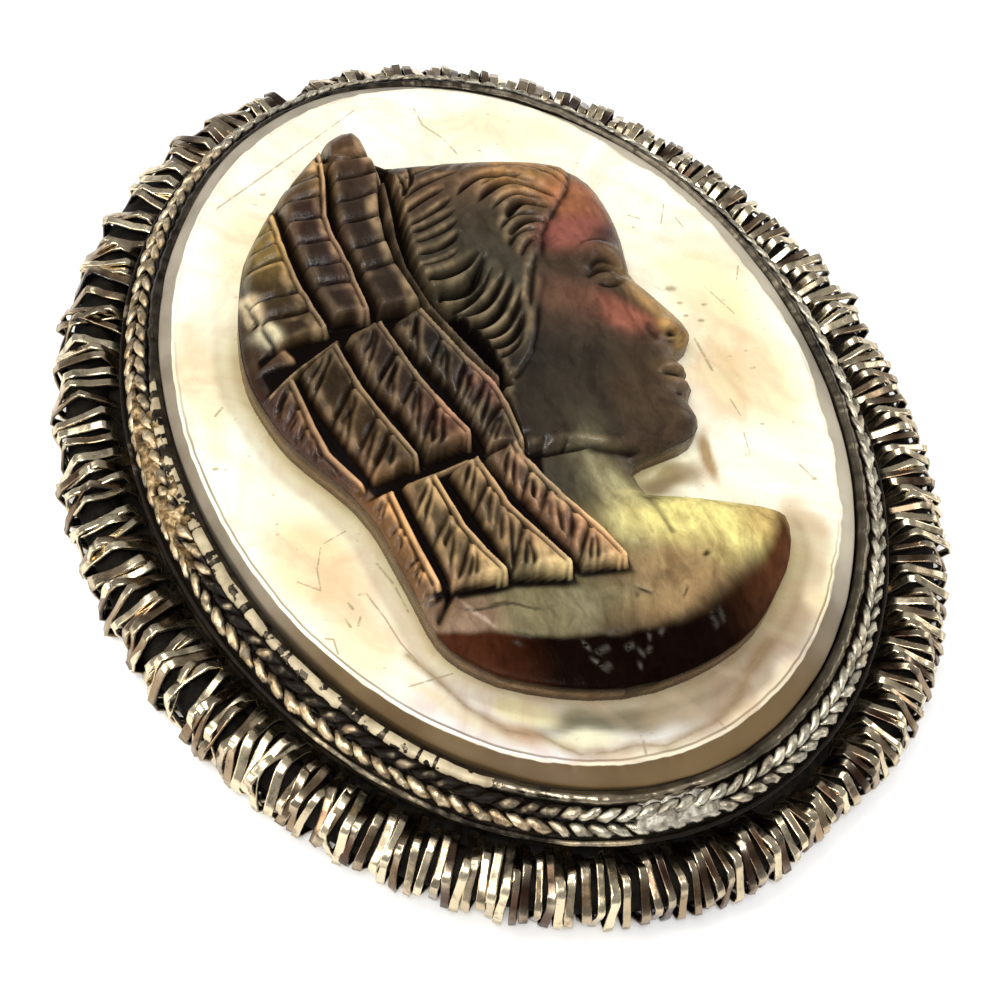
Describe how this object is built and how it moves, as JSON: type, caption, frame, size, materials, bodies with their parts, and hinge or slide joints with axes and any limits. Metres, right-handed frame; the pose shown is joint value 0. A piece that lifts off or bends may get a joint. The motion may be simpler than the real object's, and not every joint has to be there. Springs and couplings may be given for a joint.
{
  "type": "cameo brooch",
  "caption": "Oval cameo brooch: carved dark shell bust on a pearly plaque, in a metal bezel with twisted wires and a wide coiled wire border, pin at the back.",
  "frame": {"origin": "middle of the coiled border on the surface that the brooch rests on", "axes": "+Z out of the plaque's face, +Y to the top of the carved head, +X to the side that the head faces"},
  "size_m": [0.0394, 0.048, 0.0083],
  "materials": {
    "border_wire": "oxidised silver wire, worn bright on its edges",
    "setting_metal": "tarnished silver with flaking plating",
    "twist_wire": "tarnished silver, golden brown in the hollows",
    "pearl_shell": "polished mother of pearl",
    "dark_shell": "carved and polished dark iridescent shell",
    "pin_metal": "plain plated steel"
  },
  "bodies": {
    "root": {"bezel_setting": "setting_metal", "shell_plaque": "pearl_shell", "carved_bust": "dark_shell", "inner_twisted_wire": "twist_wire", "outer_twisted_wire": "twist_wire", "coil_border": "border_wire", "brooch_pin": "pin_metal"}
  },
  "joints": []
}
